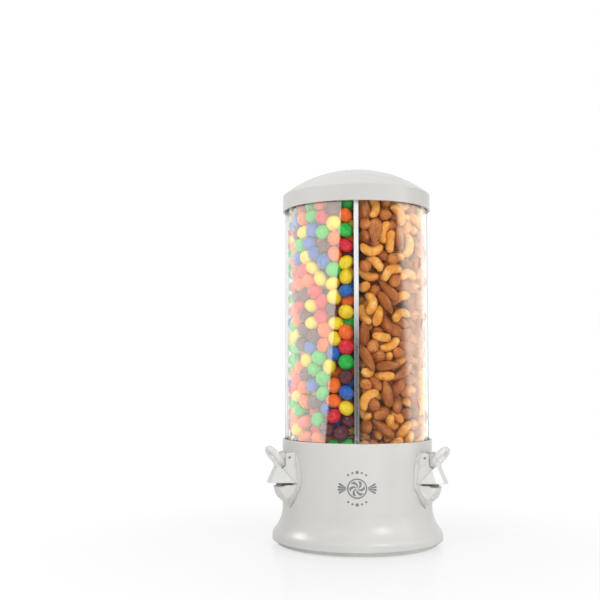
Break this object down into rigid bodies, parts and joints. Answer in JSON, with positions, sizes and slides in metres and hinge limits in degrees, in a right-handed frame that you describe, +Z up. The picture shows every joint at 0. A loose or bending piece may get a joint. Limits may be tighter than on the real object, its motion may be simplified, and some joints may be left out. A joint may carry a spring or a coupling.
{
  "type": "triple candy dispenser",
  "caption": "Countertop candy and nut dispenser: clear divided cylinder on a white base, with a sprung finger lever at each chute and a domed twist-lock lid.",
  "frame": {"origin": "centre of the underside, on the axis of the tube", "axes": "+Z up along the axis of the tube, front towards -Y, +X to the right seen from the front"},
  "size_m": [0.1688, 0.1758, 0.356],
  "materials": {
    "white_plastic": "glossy off-white moulding",
    "white_lever": "glossy off-white moulding",
    "white_insert": "satin off-white moulding",
    "white_plate": "satin off-white moulding",
    "clear_tube": "clear polished plastic",
    "clear_divider": "clear polished plastic",
    "steel": "zinc-plated",
    "rubber_pad": "matt"
  },
  "bodies": {
    "base": {"base_housing": "white_plastic", "bottom_plate": "white_plate", "bottom_screws": "steel", "non_slip_pad": "rubber_pad", "hopper_insert": "white_insert", "insert_screws": "steel", "divider": "clear_divider", "spout_body_left": "white_plastic", "spout_screws_left": "steel", "hinge_pin_left": "steel", "torsion_spring_left": "steel", "spout_body_right": "white_plastic", "spout_screws_right": "steel", "hinge_pin_right": "steel", "torsion_spring_right": "steel", "spout_body_back": "white_plastic", "spout_screws_back": "steel", "hinge_pin_back": "steel", "torsion_spring_back": "steel"},
    "tube": {"tube": "clear_tube"},
    "lid": {"lid": "white_plastic"},
    "lever_left": {"lever_left": "white_lever"},
    "lever_right": {"lever_right": "white_lever"},
    "lever_back": {"lever_back": "white_lever"}
  },
  "joints": [
    {"name": "tube_twist", "type": "hinge", "parent": "base", "child": "tube", "pos_m": [0, 0, 0.0861], "axis": [0, 0, 1], "range_deg": [0, 20]},
    {"name": "lid_twist", "type": "hinge", "parent": "tube", "child": "lid", "pos_m": [0, 0, 0.316], "axis": [0, 0, 1], "range_deg": [0, 25]},
    {"name": "lever_left_pivot", "type": "hinge", "parent": "base", "child": "lever_left", "pos_m": [-0.06599, -0.0381, 0.0835], "axis": [-0.5, 0.866, 0], "range_deg": [0, 38], "stiffness_Nm_per_rad": 0.03, "springref_deg": -20.05, "deforming": ["torsion_spring_left"]},
    {"name": "lever_right_pivot", "type": "hinge", "parent": "base", "child": "lever_right", "pos_m": [0.06599, -0.0381, 0.0835], "axis": [-0.5, -0.866, 0], "range_deg": [0, 38], "stiffness_Nm_per_rad": 0.03, "springref_deg": -20.05, "deforming": ["torsion_spring_right"]},
    {"name": "lever_back_pivot", "type": "hinge", "parent": "base", "child": "lever_back", "pos_m": [0, 0.0762, 0.0835], "axis": [1, 0, 0], "range_deg": [0, 38], "stiffness_Nm_per_rad": 0.03, "springref_deg": -20.05, "deforming": ["torsion_spring_back"]}
  ]
}
